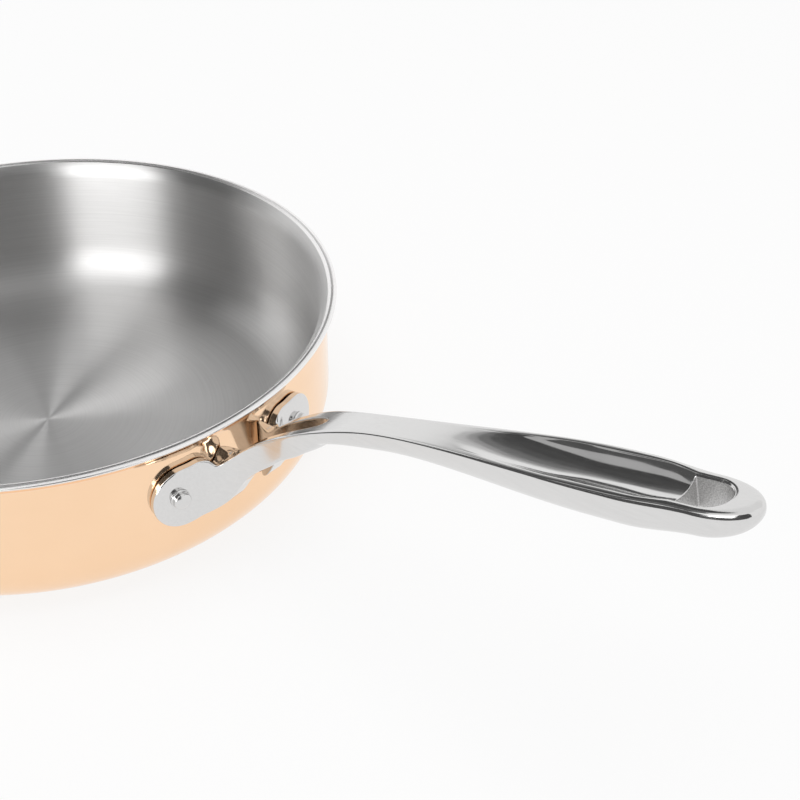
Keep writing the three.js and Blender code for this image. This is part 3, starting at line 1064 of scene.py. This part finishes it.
# %% Polished handle
polished_steel = new_metal("polished_handle_steel", (0.70, 0.695, 0.69), 0.1)
belt = stretched_noise(polished_steel, (60, 900, 900), 4)
dull(polished_steel, belt, 0.07, 0.13)
tint(polished_steel, belt, (0.685, 0.68, 0.675), (0.715, 0.71, 0.705))
carve(polished_steel, belt, polish_depth)
print("handle roughness runs from 0.07 to 0.13")

# %% [markdown]
# The belt can't reach the wall of the hanging hole, which keeps the grain of the mould. The inner faces of the fork get
# only a hand file, so they are duller than the outside. Their darker tone is painted shade, for the shade between the
# arms.

# %% Cast hole, and filed fork with painted shade
grain_depth = 0.0001
cast_steel = new_metal("cast_hole_wall", (0.62, 0.615, 0.61), 0.45)
grain = stretched_noise(cast_steel, (2400, 2400, 2400), 2)
dull(cast_steel, grain, 0.35, 0.55)
tint(cast_steel, grain, (0.42, 0.415, 0.41), (0.76, 0.755, 0.75))
carve(cast_steel, grain, grain_depth)

# painted shade: the fork's inner faces get a darker steel than the outside, for the shade between the arms
fork_steel_painted_shade = new_metal("fork_inside_painted_shade", (0.5, 0.49, 0.48), 0.16)
stroke = stretched_noise(fork_steel_painted_shade, (300, 300, 900), 3)
dull(fork_steel_painted_shade, stroke, 0.12, 0.22)
tint(fork_steel_painted_shade, stroke, (0.47, 0.455, 0.44), (0.53, 0.52, 0.51))
carve(fork_steel_painted_shade, stroke, polish_depth)
print("grain of the cast wall is", grain_depth / MM, "mm deep")

# %% [markdown]
# The rivets were bright wire before they were set, and the hammering left shallow dimples on their ends. The core is plain
# rolled sheet, and its noise is drawn out along the rolls.

# %% Rivets and core
dimple_depth = 0.00001
rivet_steel = new_metal("rivet_steel", (0.70, 0.695, 0.69), 0.16)
dimples = stretched_noise(rivet_steel, (500, 500, 500), 3)
dull(rivet_steel, dimples, 0.12, 0.2)
carve(rivet_steel, dimples, dimple_depth)

rolled_aluminium = new_metal("rolled_aluminium", (0.78, 0.785, 0.79), 0.4)
dull(rolled_aluminium, stretched_noise(rolled_aluminium, (40, 1500, 40), 4), 0.34, 0.48)
print("dimples on the rivets are", dimple_depth / MM, "mm deep")

# %% [markdown]
# ## Pieces on the frame
# Each fine piece rides on the pan's only body, and hides the faceted CAD node that it stands for. The aluminium core
# stays as the CAD node, since it is shut in between the other layers.

# %% Fit the pieces to the frame
dressed = [
    (copper_skin, "copper_skin", "copper", [copper]),
    (steel_lining, "steel_lining", "brushed_lining", [brushed, ground_rim_painted_highlight]),
    (handle, "handle", "polished_handle", [polished_steel, cast_steel, fork_steel_painted_shade]),
    (rivet_left, "rivet_left", "rivet_steel", [rivet_steel]),
    (rivet_right, "rivet_right", "rivet_steel", [rivet_steel]),
]
for piece, node, slot_name, finishes in dressed:
    for finish in finishes:
        piece.data.materials.append(finish)
    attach(piece, "root")
    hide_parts(node)

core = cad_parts["aluminium_core"]
for holder in core.material_slots:
    holder.material = rolled_aluminium
print(len(dressed), "pieces ride on the root body")

# %% [markdown]
# ## The floor and the studio
# Polished metal has no look of its own: it shows what is round it. So the room matters as much as the finishes. The pan
# stands on a plain pale floor in a white room. The floor is nearly white to the eye and in reflections, and keeps a faint
# shadow. Light Path tells those rays from the rays that only bring light.

# %% Floor
floor_reach, floor_drop, floor_whiteness = 4000, 0.0001, 0.85


def seen_or_mirrored(tree):
    ray = add_node(tree, "LightPath").outputs
    seen = ray["Is Camera Ray"]
    for kind in ("Is Glossy Ray", "Is Transmission Ray"):
        seen = add_node(tree, "Math", sources={0: seen, 1: ray[kind]}, operation="MAXIMUM").outputs["Value"]
    return seen


def level_for(tree, lit, seen_level):
    levels = {"To Min": lit, "To Max": seen_level}
    return add_node(tree, "MapRange", levels, {"Value": seen_or_mirrored(tree)}).outputs["Result"]


floor_points = [(x * floor_reach, y * floor_reach, 0) for x, y in ((-1, -1), (1, -1), (1, 1), (-1, 1))]
floor = make_piece("floor", floor_points, [([0, 1, 2, 3], 0)])
floor.location.z = -floor_drop
matt = {"Base Color": (0.93, 0.93, 0.93, 1), "Roughness": 0.9, "Specular IOR Level": 0}
floor_finish = new_material("pale_floor", matt)
tree = floor_finish.node_tree
pale, white = tree.nodes["Principled BSDF"].outputs["BSDF"], add_node(tree, "Emission").outputs["Emission"]
layers = {0: level_for(tree, 0, floor_whiteness), 1: pale, 2: white}
blank = add_node(tree, "MixShader", sources=layers)
tree.links.new(blank.outputs["Shader"], tree.nodes["Material Output"].inputs["Surface"])
floor.data.materials.append(floor_finish)
print("the floor is", 2 * floor_reach * MM, "m wide")

# %% [markdown]
# The room is white where it is seen or mirrored, and lights the pan a little less than that. One wide soft lamp hangs above.
# Reflections don't see it, because the cards below give them what they need.

# %% Room and lamp
room_light = 0.6
room = bpy.data.worlds.new("white_room")
room.use_nodes = True
scene.world = room
background = room.node_tree.nodes["Background"]
background.inputs["Color"].default_value = (1, 1, 1, 1)
room.node_tree.links.new(level_for(room.node_tree, room_light, 1), background.inputs["Strength"])

lamp_data = bpy.data.lights.new("soft_lamp", "AREA")
lamp_data.shape = "DISK"
lamp_data.size = 1.6
lamp_data.energy = 13
lamp = bpy.data.objects.new("soft_lamp", lamp_data)
lamp.location = (0.1, -0.2, 1.8)
lamp.visible_glossy = False
lamp.visible_camera = False
scene.collection.objects.link(lamp)
print("lamp hangs at", round(lamp.location.z, 2), "m")

# %% [markdown]
# Photographers put cards beside shiny things, pale ones to fill them with light and dark ones to give them an edge. Each card
# here is a curved panel between two directions and two heights above the horizon, in degrees, as seen from the handle. A card
# that glows at 1 is white, and one at 0 is black. A softbox is a lamp behind cloth, so it glows more. Only reflections see
# the cards.

# %% Helpers for cards
def make_card(name, points, faces, glow):
    card = make_piece(name, points, faces)
    black = {"Base Color": (0, 0, 0, 1), "Specular IOR Level": 0}
    card.data.materials.append(
        new_material(name, {**black, "Emission Color": (1, 1, 1, 1), "Emission Strength": glow}))
    card.visible_camera = False
    card.visible_diffuse = False
    card.visible_shadow = False


def stand_card(name, turn_from, turn_to, rise_from, rise_to, glow, reach=3000, middle=(200, 0, 90)):
    steps_round, steps_up = 24, 8
    points, faces = [], []
    for i in range(steps_round + 1):
        turned = math.radians(blend_between(turn_from, turn_to, i / steps_round))
        for k in range(steps_up + 1):
            risen = math.radians(blend_between(rise_from, rise_to, k / steps_up))
            heading = (math.cos(risen) * math.cos(turned), math.cos(risen) * math.sin(turned), math.sin(risen))
            points.append([start + reach * part for start, part in zip(middle, heading)])
    for i in range(steps_round):
        for k in range(steps_up):
            here = i * (steps_up + 1) + k
            faces.append(([here, here + 1, here + steps_up + 2, here + steps_up + 1], 0))
    make_card(name, points, faces, glow)


print("helpers for cards ready")

# %% [markdown]
# A pale grey canopy hangs behind everything and keeps the flat top of the handle from going plain white. Two softboxes on the
# camera's side make the bright band on the wall inside the pan, and the dark cards beside them give that band its edges.

# %% Cards round the pan
canopy_reach = 3300
stand_card("grey_canopy", 60, 300, 30, 64, 0.9, canopy_reach)
stand_card("grey_top", 0, 360, 64, 89, 0.9, canopy_reach)
stand_card("softbox_high", 232, 305, 43, 68, 1.4)
stand_card("softbox_low", 260, 299, 2, 43, 4.2)
stand_card("dark_card_behind", 304, 347, 1, 62, 0.08)
stand_card("dark_card_left", 224, 253, 1, 40, 0.08)

# %% [markdown]
# A flag is a dark card that stands close, so that it darkens one thing only. These flags stand over the pan. The thumb scoop
# mirrors them, and a paler one among them makes the leaf of light in it, but the floor of the pan looks past them. Low down
# they fade to white in four steps. The last flag keeps the low softbox off the edges of the grip, while the brushed wall
# inside the pan still sees that softbox.

# %% Flags round the grip
flag_reach, flag_middle = 600, (258, 2, 108)


def stand_flag(name, turn_from, turn_to, rise_from, rise_to, glow):
    stand_card(name, turn_from, turn_to, rise_from, rise_to, glow, flag_reach, flag_middle)


stand_flag("flag_left", 187, 224, 1, 54, 0.1)
stand_flag("flag_leaf", 165, 187, 39, 51, 0.5)
stand_flag("flag_above_leaf", 165, 187, 51, 54, 0.1)
stand_flag("flag_under_leaf", 165, 187, 25, 39, 0.1)
stand_flag("flag_back", 150, 165, 25, 54, 0.07)
stand_flag("flag_side", 128, 150, 30, 54, 0.08)
stand_flag("flag_over", 128, 224, 54, 64, 0.15)
for glow, rise_from, rise_to in ((0.11, 25, 30), (0.2, 20, 25), (0.37, 16, 20), (0.6, 12, 16)):
    stand_flag(f"flag_fade_{rise_from}", 128, 150, rise_from, rise_to, glow)

beside_points = [(130, -150, 85), (700, -150, 85), (700, -150, 185), (130, -150, 185)]
make_card("flag_beside", beside_points, [([0, 1, 2, 3], 0)], 0.09)
print("the last flag stands", -beside_points[0][1], "mm from the middle of the grip")
